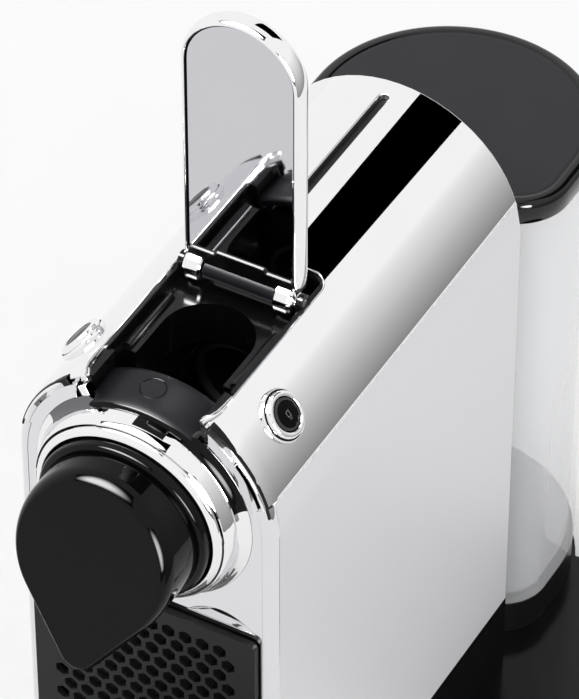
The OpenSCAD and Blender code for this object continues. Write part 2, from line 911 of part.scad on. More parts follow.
module lever_mirror() {
    color("#d0d0d6") along_y(lever_y0 + 0.8, lever_y0 + 2.35) tongue(lever_rim + 0.1, lever_z0 + 4.1);
}

module lever_roller() {
    color("#38343a") at_hinge(-knuckle_x0 + gap, knuckle_x0 - gap) difference() {
        circle(4.1);
        circle(pin_hole_r);
    }
}

module cord_gland() {
    color("#1a1a1a") translate([-body_r, 60, 22]) rotate([0, 90, 0]) difference() {
        union() {
            translate([0, 0, -1.5]) cylinder(r = 7.5, h = 1.5);
            cylinder(r = 5.5, h = 8);
            translate([0, 0, 3.2]) cylinder(r = 6.8, h = 1.6);
        }
        translate([0, 0, -2]) cylinder(r = 3.6, h = 11);
    }
}

base_plate();
feet();
plinth();
side_panel_left();
side_panel_right();
top_shell();
front_fascia();
rear_cover();
cover_screws();
chassis();
bay_liner();
front_saddle();
slot_insert();
neck_sleeve();
neck_ring();
nozzle_seal();
nozzle_head();
coffee_spout();
button_bezels();
button_board();
brew_frame();
pierce_plate();
brew_gasket();
pump();
pump_mounts();
thermoblock();
flow_meter();
circuit_board();
suction_hose();
pressure_hose();
dock_base();
dock_seal();
cord_gland();
lever_pin();
lever_frame();
lever_mirror();
lever_roller();
brew_cage();
cage_gasket();
button_left();
button_right();
tank_shell();
tank_lid();
tank_valve();
valve_spring();
drip_tray();
drip_grid();
capsule_container();
support_pin();
cup_support();
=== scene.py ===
import math

import bpy
from mathutils import Matrix, Vector
from mathutils.geometry import delaunay_2d_cdt


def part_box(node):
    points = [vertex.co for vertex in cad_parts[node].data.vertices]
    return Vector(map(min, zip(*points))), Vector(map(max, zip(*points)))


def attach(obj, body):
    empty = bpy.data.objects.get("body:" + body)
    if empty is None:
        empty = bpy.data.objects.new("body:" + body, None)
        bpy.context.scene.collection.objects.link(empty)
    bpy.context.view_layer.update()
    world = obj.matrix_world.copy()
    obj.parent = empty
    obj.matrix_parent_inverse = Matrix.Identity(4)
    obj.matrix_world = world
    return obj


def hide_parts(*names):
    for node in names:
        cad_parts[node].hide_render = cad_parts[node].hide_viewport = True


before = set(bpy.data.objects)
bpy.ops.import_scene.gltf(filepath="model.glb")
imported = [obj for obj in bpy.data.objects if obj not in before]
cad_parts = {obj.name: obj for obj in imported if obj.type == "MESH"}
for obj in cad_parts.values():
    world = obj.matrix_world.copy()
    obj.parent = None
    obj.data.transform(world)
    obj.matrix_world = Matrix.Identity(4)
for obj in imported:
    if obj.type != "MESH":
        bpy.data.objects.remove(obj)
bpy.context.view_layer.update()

MM = 0.001


def node_box(node):
    """A CAD node's lowest and highest corners, in millimetres."""
    low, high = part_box(node)
    return Vector(low) / MM, Vector(high) / MM


# Driving dimensions, in millimetres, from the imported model

side_low, side_high = node_box("side_panel_right")
top_low, top_high = node_box("top_shell")
BODY_R = side_high.x
TOP_Z = top_high.z
AXIS_Z = TOP_Z - BODY_R
FRONT_Y, REAR_Y = top_low.y, top_high.y
SKIRT_Z = side_low.z
CORNER_R = side_low.y - FRONT_Y
WALL = 2.5
# how far above the horizontal the joint between the arch and a side panel lies, round the body's axis
SEAM = math.acos(top_high.x / BODY_R)
BAY_HALF = 26.3
BAY_REAR = FRONT_Y + 85.5
BUTTON_Y = -73.2
# a button's lean from the vertical
BUTTON_TILT = math.radians(50)
FORWARD, REARWARD, RIGHT, UP = (0, -1, 0), (0, 1, 0), (1, 0, 0), (0, 0, 1)
NECK = (0, 0, AXIS_Z)


# Meshes

class Skin:
    """Faces with an exact normal at each corner, in millimetres. Corners at one place share a point."""

    def __init__(self):
        self.points, self.index = [], {}
        self.faces, self.normals, self.slots = [], [], []
        self.mirrored = False

    def place(self, p):
        key = (round(p[0] * 1000), round(p[1] * 1000), round(p[2] * 1000))
        if key not in self.index:
            self.index[key] = len(self.points)
            self.points.append(tuple(p))
        return self.index[key]

    def face(self, points, normals, slot=0):
        points, normals = [Vector(p) for p in points], [Vector(n) for n in normals]
        if self.mirrored:
            flip = Vector((-1, 1, 1))
            points = [p * flip for p in reversed(points)]
            normals = [n * flip for n in reversed(normals)]
        ids, kept = [], []
        for p, n in zip(points, normals):
            i = self.place(p)
            if i not in ids:
                ids.append(i)
                kept.append(n)
        if len(ids) > 2:
            self.faces.append(ids)
            self.normals.append(kept)
            self.slots.append(slot)


def make(name, skin, materials, body, replaces=()):
    """A piece from a skin, with the skin's own normals, that rides a body and replaces CAD nodes."""
    mesh = bpy.data.meshes.new(name)
    mesh.from_pydata([Vector(p) * MM for p in skin.points], [], skin.faces)
    mesh.polygons.foreach_set("material_index", skin.slots)
    mesh.polygons.foreach_set("use_smooth", [True] * len(skin.faces))
    mesh.update()
    mesh.normals_split_custom_set([n.normalized() for face in skin.normals for n in face])
    piece = bpy.data.objects.new(name, mesh)
    bpy.context.scene.collection.objects.link(piece)
    for m in materials:
        piece.data.materials.append(m)
    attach(piece, body)
    if replaces:
        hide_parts(*replaces)


def arc(centre, radius, start, stop, steps):
    """Points on an arc, both ends included; angles in degrees."""
    turns = [math.radians(start + (stop - start) * i / steps) for i in range(steps + 1)]
    return [(centre[0] + radius * math.cos(t), centre[1] + radius * math.sin(t)) for t in turns]


def rounded(corners, steps=6):
    """A closed outline from (x, y, radius) corners, with each corner rounded by its radius."""
    out = []
    count = len(corners)
    for i, (x, y, radius) in enumerate(corners):
        here = Vector((x, y))
        if radius <= 0:
            out.append((x, y))
            continue
        back = (Vector(corners[i - 1][:2]) - here).normalized()
        ahead = (Vector(corners[(i + 1) % count][:2]) - here).normalized()
        half = back.angle(ahead) / 2
        reach = radius / math.tan(half)
        centre = here + (back + ahead).normalized() * (radius / math.sin(half))
        first, last = here + back * reach - centre, here + ahead * reach - centre
        turn = math.atan2(first.x * last.y - first.y * last.x, first.dot(last))
        for k in range(steps + 1):
            a = turn * k / steps
            out.append((centre.x + first.x * math.cos(a) - first.y * math.sin(a),
                        centre.y + first.x * math.sin(a) + first.y * math.cos(a)))
    return out


def dense(loop, step):
    """The loop with its long edges divided."""
    out = []
    for i, (x, y) in enumerate(loop):
        nx, ny = loop[(i + 1) % len(loop)]
        parts = max(1, math.ceil(math.hypot(nx - x, ny - y) / step))
        out += [(x + (nx - x) * k / parts, y + (ny - y) * k / parts) for k in range(parts)]
    return out


def between(a, b, parts):
    """The points that divide a line into equal parts, without its ends."""
    return [(a[0] + (b[0] - a[0]) * i / parts, a[1] + (b[1] - a[1]) * i / parts) for i in range(1, parts)]


def flipped(points):
    """The points on the other side of x = 0."""
    return [(-x, y) for x, y in points]


def loop_area(loop):
    """The loop's area; positive if it runs counter-clockwise."""
    return sum(a[0] * b[1] - b[0] * a[1] for a, b in zip(loop, loop[1:] + loop[:1])) / 2


def outward(loop):
    """For each point of a loop, the unit direction off the sheet, and how much a mitre lengthens it."""
    out = []
    count = len(loop)
    for i in range(count):
        a, b, c = (Vector(loop[(i + k) % count]) for k in (-1, 0, 1))
        n1 = Vector(((b - a).y, (a - b).x)).normalized()
        n2 = Vector(((c - b).y, (b - c).x)).normalized()
        m = n1 + n2
        m = m.normalized() if m.length > 1e-6 else n1
        out.append((m, 1 / max(m.dot(n1), 0.35)))
    return out


def inside(p, loops):
    """Whether a point lies inside the outline and outside its holes."""
    hit = False
    for loop in loops:
        for (x0, y0), (x1, y1) in zip(loop, loop[1:] + loop[:1]):
            if (y0 > p[1]) != (y1 > p[1]) and p[0] < x0 + (p[1] - y0) * (x1 - x0) / (y1 - y0):
                hit = not hit
    return hit


def fill(loops, step):
    """Triangles that fill the region between loops, with points inside at the given steps."""
    points = [p for loop in loops for p in loop]
    edges, start = [], 0
    for loop in loops:
        n = len(loop)
        edges += [(start + i, start + (i + 1) % n) for i in range(n)]
        start += n
    low = [min(p[k] for p in points) for k in (0, 1)]
    high = [max(p[k] for p in points) for k in (0, 1)]
    near = {(round(p[0] / step[0]), round(p[1] / step[1])) for p in points}
    for i in range(int(low[0] // step[0]), int(high[0] // step[0]) + 2):
        for j in range(int(low[1] // step[1]), int(high[1] // step[1]) + 2):
            p = (i * step[0], j * step[1])
            if (i, j) not in near and inside(p, loops):
                points.append(p)
    spots, _, faces, *_ = delaunay_2d_cdt([Vector(p) for p in points], edges, [], 1, 1e-5)
    kept = [f for f in faces if inside(sum((spots[i] for i in f), Vector((0, 0))) / len(f), loops)]
    return [tuple(v) for v in spots], kept


def sheet(skin, surface, loops, thickness, edge, step=(6, 6), back_edge=0.0):
    """A sheet of one thickness on a surface, with rounded edges. The first loop is its outline, the rest are
    holes. surface(u, v, depth) gives a point and its two tangents."""
    loops = [loop if (loop_area(loop) > 0) == (k == 0) else loop[::-1] for k, loop in enumerate(loops)]
    leads = [outward(loop) for loop in loops]

    def at(p, depth):
        point, eu, ev = surface(p[0], p[1], depth)
        return Vector(point), Vector(eu), Vector(ev), Vector(eu).cross(Vector(ev)).normalized()

    for front, inset, depth in ((True, edge, 0.0), (False, back_edge, thickness)):
        moved = [[(p[0] - m.x * inset * k, p[1] - m.y * inset * k) for p, (m, k) in zip(loop, lead)]
                 for loop, lead in zip(loops, leads)]
        points, faces = fill(moved, step)
        for f in faces:
            if loop_area([points[i] for i in f]) < 0:
                f = f[::-1]
            got = [at(points[i], depth) for i in (f if front else f[::-1])]
            skin.face([g[0] for g in got], [g[3] * (1 if front else -1) for g in got])

    # the rim's outline as (outset, depth, lean of its normal)
    profile, arcs = [(0, 0, math.pi / 2)], 4
    if edge > 0:
        turns = [math.pi / 2 * k / arcs for k in range(arcs + 1)]
        profile = [(-edge * (1 - math.sin(t)), edge * (1 - math.cos(t)), t) for t in turns]
    if back_edge > 0:
        turns = [math.pi / 2 * (1 + k / arcs) for k in range(arcs + 1)]
        profile += [(-back_edge * (1 - math.sin(t)), thickness - back_edge * (1 + math.cos(t)), t)
                    for t in turns]
    else:
        profile += [(0, thickness, math.pi / 2)]
    for loop, lead in zip(loops, leads):
        rows = []
        for p, (m, k) in zip(loop, lead):
            row = []
            for out, depth, t in profile:
                point, eu, ev, n = at((p[0] + m.x * out * k, p[1] + m.y * out * k), depth)
                away = (eu.normalized() * m.x + ev.normalized() * m.y).normalized()
                row.append((point, away * math.sin(t) + n * math.cos(t)))
            rows.append(row)
        for i, (a, b) in enumerate(zip(rows, rows[1:] + rows[:1])):
            after = (i + 1) % len(loop)
            run = Vector(loop[after]) - Vector(loop[i])
            own = Vector((run.y, -run.x)).normalized()
            sharp = lead[i][0].dot(own) < 0.9 or lead[after][0].dot(own) < 0.9
            for j in range(len(profile) - 1):
                quad = [a[j], a[j + 1], b[j + 1], b[j]]
                normals = [q[1] for q in quad]
                if sharp:
                    _, eu, ev, n = at(loop[i], profile[j][1])
                    flat = eu.normalized() * own.x + ev.normalized() * own.y
                    turns = [profile[q][2] for q in (j, j + 1, j + 1, j)]
                    normals = [flat * math.sin(t) + n * math.cos(t) for t in turns]
                skin.face([q[0] for q in quad], normals)


def plane(origin, u, v):
    """A flat surface for sheet()."""
    origin, u, v = Vector(origin), Vector(u), Vector(v)
    n = u.cross(v).normalized()
    return lambda a, b, depth: (origin + u * a + v * b - n * depth, u, v)


def profile_normals(profile, closed, crease=35):
    """Two normals for each run of an outline in (r, h): at its start and at its end."""
    count = len(profile)
    runs = count if closed else count - 1
    own = []
    for i in range(runs):
        a, b = Vector(profile[i][:2]), Vector(profile[(i + 1) % count][:2])
        d = b - a
        own.append(Vector((d.y, -d.x)).normalized() if d.length > 1e-9 else Vector((0, 0)))
    limit = math.cos(math.radians(crease))
    out = []
    for i in range(runs):
        ends = []
        for j in (i - 1, i + 1):
            joined = closed or 0 <= j < runs
            other = own[j % runs] if joined else own[i]
            ends.append((own[i] + other).normalized() if own[i].dot(other) > limit else own[i])
        out.append(ends)
    return out


def lathe(skin, profile, origin, axis, side, start=0, stop=360, steps=96, slots=None, closed=True, crease=35,
          caps=True):
    """Turns an outline in (r, h) round an axis. side is the direction of angle 0. The outline runs up its
    outside. profile may be a function of the angle in degrees, for a shape that changes on its way round."""
    axis, side, origin = Vector(axis).normalized(), Vector(side).normalized(), Vector(origin)
    other = axis.cross(side)
    shape = profile if callable(profile) else lambda angle: profile
    full = abs(stop - start) >= 360
    angles = [start + (stop - start) * i / steps for i in range(steps + 1)]
    rows = []
    for angle in angles:
        t = math.radians(angle)
        radial = side * math.cos(t) + other * math.sin(t)
        outline = shape(angle)
        rows.append((radial, outline, profile_normals(outline, closed, crease)))

    def spot(row, j):
        r, h = row[1][j % len(row[1])][:2]
        return origin + row[0] * r + axis * h

    def lean(row, n):
        return row[0] * n.x + axis * n.y

    for a, b in zip(rows, rows[1:]):
        for j in range(len(a[2])):
            na, nb = a[2][j], b[2][j]
            skin.face([spot(a, j), spot(b, j), spot(b, j + 1), spot(a, j + 1)],
                      [lean(a, na[0]), lean(b, nb[0]), lean(b, nb[1]), lean(a, na[1])],
                      slots[j] if slots else 0)
    if caps and closed and not full:
        for row, sign in ((rows[0], -1), (rows[-1], 1)):
            ring = [spot(row, j) for j in range(len(row[1]))]
            n = axis.cross(row[0]) * sign
            skin.face(ring if sign > 0 else ring[::-1], [n] * len(ring), slots[0] if slots else 0)


def sweep(skin, loop, profile, place, slots=None, crease=35, cap_first=None, cap_last=None):
    """Runs a profile of (outset, height) round a closed loop. place(x, y, h) gives the point."""
    loop = loop if loop_area(loop) > 0 else loop[::-1]
    lead = outward(loop)
    ends = profile_normals(profile, False, crease)
    origin = Vector(place(0, 0, 0))
    ex, ey, eh = (Vector(place(*d)) - origin for d in ((1, 0, 0), (0, 1, 0), (0, 0, 1)))

    def spot(i, j):
        (x, y), (m, k) = loop[i % len(loop)], lead[i % len(loop)]
        o, h = profile[j][:2]
        return Vector(place(x + m.x * o * k, y + m.y * o * k, h))

    def lean(i, n):
        m = lead[i % len(loop)][0]
        return (ex * m.x + ey * m.y) * n.x + eh * n.y

    for i in range(len(loop)):
        for j in range(len(profile) - 1):
            skin.face([spot(i, j), spot(i + 1, j), spot(i + 1, j + 1), spot(i, j + 1)],
                      [lean(i, ends[j][0]), lean(i + 1, ends[j][0]),
                       lean(i + 1, ends[j][1]), lean(i, ends[j][1])],
                      slots[j] if slots else 0)
    for j, cap, sign in ((0, cap_first, -1), (len(profile) - 1, cap_last, 1)):
        if cap is not None:
            ring = [spot(i, j) for i in range(len(loop))]
            skin.face(ring if sign > 0 else ring[::-1], [eh * sign] * len(ring), cap)


def loft(skin, rings, creases=(), first=None, last=None):
    """Faces between rings of the same number of points. Each ring runs counter-clockwise about the way they
    go. A ring in creases keeps a sharp edge. first and last are the slots of the ends that are closed."""
    count = len(rings[0])
    rings = [[Vector(p) for p in ring] for ring in rings]
    for j in range(len(rings) - 1):
        low_near = rings[j - 1] if j > 0 and j not in creases else rings[j]
        high_far = rings[j + 2] if j + 2 < len(rings) and j + 1 not in creases else rings[j + 1]
        for i in range(count):
            quad, normals = [], []
            for k, a, b in ((i, j, 0), (i + 1, j, 0), (i + 1, j + 1, 1), (i, j + 1, 1)):
                ring = rings[a]
                along = ring[(k + 1) % count] - ring[(k - 1) % count]
                up = (high_far[k % count] - rings[j][k % count]) if b else (
                    rings[j + 1][k % count] - low_near[k % count])
                quad.append(ring[k % count])
                normals.append(along.cross(up).normalized())
            skin.face(quad, normals)
    for ring, slot, sign in ((rings[0], first, -1), (rings[-1], last, 1)):
        if slot is not None:
            middle = sum(ring, Vector()) / count
            n = Vector()
            for a, b in zip(ring, ring[1:] + ring[:1]):
                n += (a - middle).cross(b - middle)
            n = n.normalized() * sign
            skin.face(ring if sign > 0 else ring[::-1], [n] * count, slot)


def ease(a, b, x):
    """0 at a and 1 at b, with a smooth start and stop."""
    t = max(0.0, min(1.0, (x - a) / (b - a)))
    return t * t * (3 - 2 * t)


# Materials

# the range that most of a noise's values keep to, and the height of the bumps in metres
NOISE_LOW, NOISE_HIGH = 0.3, 0.7
BUMP_HEIGHT = 0.0002


def mix_value(tree, noise, low, high):
    """A value that follows a noise between two limits."""
    turn = tree.nodes.new("ShaderNodeMapRange")
    turn.inputs["From Min"].default_value, turn.inputs["From Max"].default_value = NOISE_LOW, NOISE_HIGH
    turn.inputs["To Min"].default_value, turn.inputs["To Max"].default_value = low, high
    tree.links.new(noise, turn.inputs["Value"])
    return turn.outputs["Result"]


def noise_of(tree, scale, detail=3.0, stretch=(1, 1, 1)):
    """A noise in the piece's own space."""
    coords = tree.nodes.new("ShaderNodeTexCoord")
    turn = tree.nodes.new("ShaderNodeMapping")
    turn.inputs["Scale"].default_value = stretch
    noise = tree.nodes.new("ShaderNodeTexNoise")
    noise.inputs["Scale"].default_value = scale
    noise.inputs["Detail"].default_value = detail
    tree.links.new(coords.outputs["Object"], turn.inputs["Vector"])
    tree.links.new(turn.outputs["Vector"], noise.inputs["Vector"])
    return noise.outputs["Fac"]


def material(name, colour, rough, metal=0.0, shade=0.04, colour_scale=30, rough_scale=60, stretch=(1, 1, 1),
             bump=0.0, bump_scale=900, bump_stretch=(1, 1, 1), **sockets):
    """A surface whose colour, roughness and height vary a little. rough is its lowest and highest
    roughness. More sockets of the shader are given by name, with _ for a space."""
    m = bpy.data.materials.new(name)
    m.use_nodes = True
    tree = m.node_tree
    shader = tree.nodes["Principled BSDF"]
    shader.inputs["Metallic"].default_value = metal
    ramp = tree.nodes.new("ShaderNodeValToRGB")
    ramp.color_ramp.elements[0].position, ramp.color_ramp.elements[1].position = NOISE_LOW, NOISE_HIGH
    for element, gain in zip(ramp.color_ramp.elements, (1 - shade, 1 + shade)):
        element.color = (*[min(1, c * gain) for c in colour], 1)
    tree.links.new(noise_of(tree, colour_scale, stretch=stretch), ramp.inputs["Fac"])
    tree.links.new(ramp.outputs["Color"], shader.inputs["Base Color"])
    roughness = mix_value(tree, noise_of(tree, rough_scale, 5, stretch), *rough)
    tree.links.new(roughness, shader.inputs["Roughness"])
    if bump:
        height = tree.nodes.new("ShaderNodeBump")
        height.inputs["Strength"].default_value = bump
        height.inputs["Distance"].default_value = BUMP_HEIGHT
        tree.links.new(noise_of(tree, bump_scale, 2, bump_stretch), height.inputs["Height"])
        tree.links.new(height.outputs["Normal"], shader.inputs["Normal"])
    for socket, value in sockets.items():
        shader.inputs[socket.replace("_", " ")].default_value = value
    return m


chrome = material("chrome", (0.88, 0.88, 0.888), (0.015, 0.035), 1.0, shade=0.008, rough_scale=25)
chrome_front = material("chrome_front", (0.76, 0.76, 0.775), (0.02, 0.045), 1.0, shade=0.01, rough_scale=25)
panel_paint = material("panel_silver", (0.67, 0.67, 0.685), (0.42, 0.48), 0.12, shade=0.012,
                       colour_scale=1400, rough_scale=300, bump=0.03, bump_scale=2600)
mirror_face = material("lever_mirror_face", (0.6, 0.6, 0.625), (0.02, 0.04), 1.0, shade=0.008)
black_gloss = material("black_gloss", (0.0025, 0.0025, 0.0027), (0.05, 0.08), shade=0.1, bump=0.01,
                       bump_scale=500, Specular_IOR_Level=0.15)
black_satin = material("black_satin", (0.006, 0.006, 0.0065), (0.28, 0.36), shade=0.15, bump=0.1,
                       bump_scale=1800, Specular_IOR_Level=0.22)
grey_satin = material("grey_satin", (0.0105, 0.009, 0.0125), (0.34, 0.42), shade=0.12, bump=0.1,
                      bump_scale=1800, Specular_IOR_Level=0.12)
# a darker chrome that paints a grey reflection on the neck's cove: painted reflection
grey_reflection_paint = material("grey_reflection_paint", (0.16, 0.16, 0.17), (0.05, 0.08), 1.0, shade=0.03)
# near-black paint for the insides of grooves, gaps and recess steps: painted shade where these hollows fall
# dark
groove_shade_paint = material("groove_shade_paint", (0.002, 0.002, 0.0022), (0.4, 0.5), shade=0.1, Specular_IOR_Level=0.15,
                       bump=0.05)
lid_satin = material("lid_satin", (0.022, 0.0205, 0.026), (0.36, 0.44), shade=0.06, bump=0.1, bump_scale=2200,
                     Specular_IOR_Level=0.2)
lid_gloss = material("lid_rim_gloss", (0.004, 0.004, 0.0045), (0.04, 0.08), shade=0.1, bump=0.02,
                     Specular_IOR_Level=0.4)
# a black gloss that paints a dark reflection on the neck's cove and lip: painted reflection
black_reflection_paint = material("black_reflection_paint", (0.002, 0.002, 0.0023), (0.05, 0.1), shade=0.1, bump=0.01,
                      Specular_IOR_Level=0.15)
bay_gloss = material("bay_gloss", (0.004, 0.004, 0.0045), (0.1, 0.16), shade=0.15, bump=0.05, bump_scale=700,
                     Specular_IOR_Level=0.28)
support_satin = material("support_satin", (0.01, 0.01, 0.0105), (0.36, 0.44), shade=0.1, bump=0.1,
                         bump_scale=2000, Specular_IOR_Level=0.2)
base_gloss = material("base_satin_black", (0.004, 0.004, 0.0045), (0.12, 0.2), shade=0.12, bump=0.04,
                      bump_scale=1500, Specular_IOR_Level=0.22)
rubber = material("rubber", (0.014, 0.014, 0.014), (0.6, 0.75), shade=0.2, bump=0.25, bump_scale=1400)
steel = material("steel", (0.5, 0.5, 0.51), (0.22, 0.34), 1.0, shade=0.05, stretch=(1, 14, 1), bump=0.05,
                 bump_stretch=(1, 20, 1))
aluminium = material("cast_aluminium", (0.56, 0.57, 0.58), (0.42, 0.55), 1.0, shade=0.08, bump=0.35,
                     bump_scale=700)
pump_paint = material("pump_paint", (0.2, 0.2, 0.21), (0.35, 0.45), 0.4, shade=0.1, bump=0.15)
board_green = material("solder_mask", (0.02, 0.11, 0.04), (0.3, 0.4), shade=0.2, colour_scale=220, bump=0.2,
                       bump_scale=500)
hose_silicone = material("hose_silicone", (0.5, 0.5, 0.48), (0.38, 0.48), shade=0.06, bump=0.06,
                         Transmission_Weight=0.25)
white_plastic = material("white_plastic", (0.7, 0.7, 0.67), (0.32, 0.4), shade=0.03, bump=0.08)
gasket_red = material("brew_gasket_rubber", (0.02, 0.018, 0.018), (0.5, 0.6), shade=0.1, bump=0.15)
clear_plastic = material("clear_plastic", (0.93, 0.935, 0.95), (0.03, 0.06), shade=0.005, Alpha=0.3,
                         Specular_IOR_Level=0.3)
icon_grey = material("icon_grey", (0.16, 0.16, 0.17), (0.35, 0.45), shade=0.05, bump=0.05)
button_black = material("button_black", (0.003, 0.003, 0.0033), (0.16, 0.22), shade=0.1, bump=0.03,
                        Specular_IOR_Level=0.05)
ring_grey = material("button_ring_grey", (0.045, 0.045, 0.048), (0.25, 0.32), shade=0.06, bump=0.05,
                     Specular_IOR_Level=0.15)


# Looks of the CAD nodes: a material, then the nodes that wear it

NODE_LOOKS = (
    (chrome, "button_bezels"),
    (black_satin, "chassis", "brew_frame", "drip_tray", "capsule_container", "rear_cover", "coffee_spout",
     "dock_base", "slot_insert"),
    (steel, "cover_screws", "lever_pin", "support_pin", "valve_spring", "pierce_plate"),
    (rubber, "feet", "pump_mounts", "dock_seal", "cage_gasket", "cord_gland", "nozzle_seal"),
    (aluminium, "thermoblock"),
    (pump_paint, "pump"),
    (board_green, "circuit_board", "button_board"),
    (hose_silicone, "suction_hose", "pressure_hose"),
    (white_plastic, "flow_meter", "tank_valve"),
    (grey_satin, "brew_cage"),
    (bay_gloss, "bay_liner"),
    (support_satin, "cup_support", "drip_grid"),
    (base_gloss, "base_plate", "plinth"),
    (gasket_red, "brew_gasket"),
)
for look, *nodes in NODE_LOOKS:
    for node in nodes:
        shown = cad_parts[node]
        shown.data.materials.clear()
        shown.data.materials.append(look)


# Top shell

# the front edge turns down by LIP_DROP over its last LIP_LEN, and lies SWEEP_BACK further back beside the bay
LIP_DROP, LIP_LEN, SWEEP_BACK = 1.6, 6.0, 2.4
SWEEP_START, SWEEP_END = math.radians(50), math.radians(31)
FOOT_HALF = 22.9
BAY_CORNER = 5
SLOT_X0, SLOT_X1, SLOT_Y0, SLOT_Y1, SLOT_CORNER = -3, 1, -9, 78, 1.99
BUTTON_HOLE_R = 8.4


def lip_y(u):
    """Where the shell's front edge lies, at a distance u round the arch from its top."""
    return FRONT_Y + SWEEP_BACK * ease(SWEEP_START, SWEEP_END, abs(u) / BODY_R)


def arch_surface(u, v, depth):
    """The arch laid flat: u runs round it from the top, v is y."""
    s = max(0.0, (lip_y(u) + LIP_LEN - v) / LIP_LEN)
    r = BODY_R - depth - LIP_DROP * s * s
    t = u / BODY_R
    radial, along = Vector((math.sin(t), 0, math.cos(t))), Vector((math.cos(t), 0, -math.sin(t)))
    back = Vector(REARWARD) + radial * (2 * LIP_DROP * s / LIP_LEN)
    return Vector((0, v, AXIS_Z)) + radial * r, along, back


bay_u, foot_u = (BODY_R * math.asin(x / BODY_R) for x in (BAY_HALF, FOOT_HALF))
seam_u = BODY_R * (math.pi / 2 - SEAM)
button_u = BODY_R * BUTTON_TILT
foot_y = lip_y(foot_u)
# one half of the front edge and of the bay's opening, from the seam to the bay's rear
half_loop = [(u, lip_y(u)) for u in [seam_u - (seam_u - foot_u - 1) * i / 16 for i in range(17)]]
half_loop += [(foot_u + du, foot_y + dy) for du, dy in ((0.2, 0.5), (0.6, 1.6), (1.8, 3.4), (3.2, 5.2))]
half_loop += [(bay_u - 0.25, foot_y + 7.6), (bay_u, foot_y + 10)]
half_loop += dense([(bay_u, FRONT_Y + 13), (bay_u, BAY_REAR - BAY_CORNER)], 8)[:8]
half_loop += arc((bay_u - BAY_CORNER, BAY_REAR - BAY_CORNER), BAY_CORNER, 0, 90, 8)
side_run = between((seam_u, FRONT_Y), (seam_u, REAR_Y), 24)
back_run = [(seam_u - 2 * seam_u * i / 24, REAR_Y) for i in range(25)]
shell_loop = flipped(half_loop) + half_loop[::-1] + side_run + back_run + flipped(side_run[::-1])
slot_hole = rounded([(SLOT_X0, SLOT_Y0, SLOT_CORNER), (SLOT_X1, SLOT_Y0, SLOT_CORNER),
                     (SLOT_X1, SLOT_Y1, SLOT_CORNER), (SLOT_X0, SLOT_Y1, SLOT_CORNER)], 8)
button_holes = [arc((side * button_u, BUTTON_Y), BUTTON_HOLE_R, 0, 352.5, 47) for side in (-1, 1)]
shell = Skin()
sheet(shell, arch_surface, [shell_loop, slot_hole] + button_holes, WALL, 0.55, step=(2.2, 3.0),
      back_edge=0.3)
make("top_shell_cover", shell, (chrome,), "housing", ("top_shell",))


# Side panels

def side_surface(u, v, depth):
    """A side panel laid flat: u is y, v runs up the flat side and on round the arch."""
    if v <= AXIS_Z:
        return (BODY_R - depth, u, v), (0, 1, 0), (0, 0, 1)
    t = (v - AXIS_Z) / BODY_R
    c, s = math.cos(t), math.sin(t)
    return ((BODY_R - depth) * c, u, AXIS_Z + (BODY_R - depth) * s), (0, 1, 0), (-s, 0, c)


# the panel ends a little short of the skirt's edge and of the seam
panel_foot, panel_top = SKIRT_Z + 0.2, AXIS_Z + BODY_R * SEAM - 0.15
panel_loop = dense([(side_low.y, panel_foot), (REAR_Y, panel_foot),
                    (REAR_Y, panel_top), (side_low.y, panel_top)], 12)
for side, mirrored in (("right", False), ("left", True)):
    skin = Skin()
    skin.mirrored = mirrored
    sheet(skin, side_surface, [panel_loop], WALL, 0.4, step=(12, 3), back_edge=0.3)
    make(f"side_panel_{side}_cover", skin, (panel_paint,), "housing", (f"side_panel_{side}",))


# Front fascia

FLAT_HALF = BODY_R - CORNER_R
# the front face's outer edge beside the arch, the rim of the neck's cove, and the notch under the bay
ARCH_OUT, COVE_R, NOTCH_HALF = 48.7, 43.5, 26.2
OPENING_HALF, OPENING_TOP, OPENING_CORNER = 46.4, 181.0, 3
SCOOP_X0, SCOOP_X1, SCOOP_Z, SCOOP_TALL, SCOOP_DEPTH = 17.5, 44, 183.2, 5.6, 3.6
SCOOP_MIDDLE = Vector((31, 185.6))


def round_axis(radius, degrees):
    """The point (x, z) at an angle above the horizontal round the body's axis."""
    t = math.radians(degrees)
    return math.cos(t) * radius, AXIS_Z + math.sin(t) * radius


def corner_row(degrees, z):
    """Points and normals across a rounded front corner, turned by an angle round the body's axis."""
    c, s = math.cos(math.radians(degrees)), math.sin(math.radians(degrees))
    row = []
    for q in [math.radians(t) for t in range(0, 91, 9)]:
        out = FLAT_HALF + CORNER_R * math.sin(q)
        row.append(((out * c, FRONT_Y + CORNER_R * (1 - math.cos(q)), z + out * s),
                    (math.sin(q) * c, -math.cos(q), math.sin(q) * s)))
    return row


seam_deg = math.degrees(SEAM)
notch_out, notch_in = (math.degrees(math.acos(NOTCH_HALF / r)) for r in (ARCH_OUT, COVE_R))
skirt = SKIRT_Z + 0.1
half_face = [(OPENING_HALF - OPENING_CORNER, OPENING_TOP)]
half_face += arc((OPENING_HALF - OPENING_CORNER, OPENING_TOP - OPENING_CORNER), OPENING_CORNER, 90, 0, 6)[1:]
half_face += [(OPENING_HALF, skirt), (FLAT_HALF, skirt)]
half_face += between((FLAT_HALF, skirt), (FLAT_HALF, AXIS_Z), 16)
half_face += [round_axis(FLAT_HALF, t) for t in (0, 4, 8, 12, seam_deg)]
half_face += [round_axis(ARCH_OUT, seam_deg + (notch_out - seam_deg) * i / 16) for i in range(17)]
half_face += [round_axis(COVE_R, notch_in - (notch_in + 90) * i / 60) for i in range(61)]
face_loop = half_face + flipped(half_face[::-1])[1:]
scoop = [(SCOOP_X0, SCOOP_Z), (SCOOP_X1, SCOOP_Z)] + [
    (SCOOP_X1 - (SCOOP_X1 - SCOOP_X0) * i / 12, SCOOP_Z + SCOOP_TALL * math.sin(math.pi * i / 12) ** 0.8)
    for i in range(1, 12)]
fascia = Skin()
sheet(fascia, plane((0, FRONT_Y, 0), RIGHT, UP), [face_loop, scoop], WALL, 0.35, step=(5, 5))
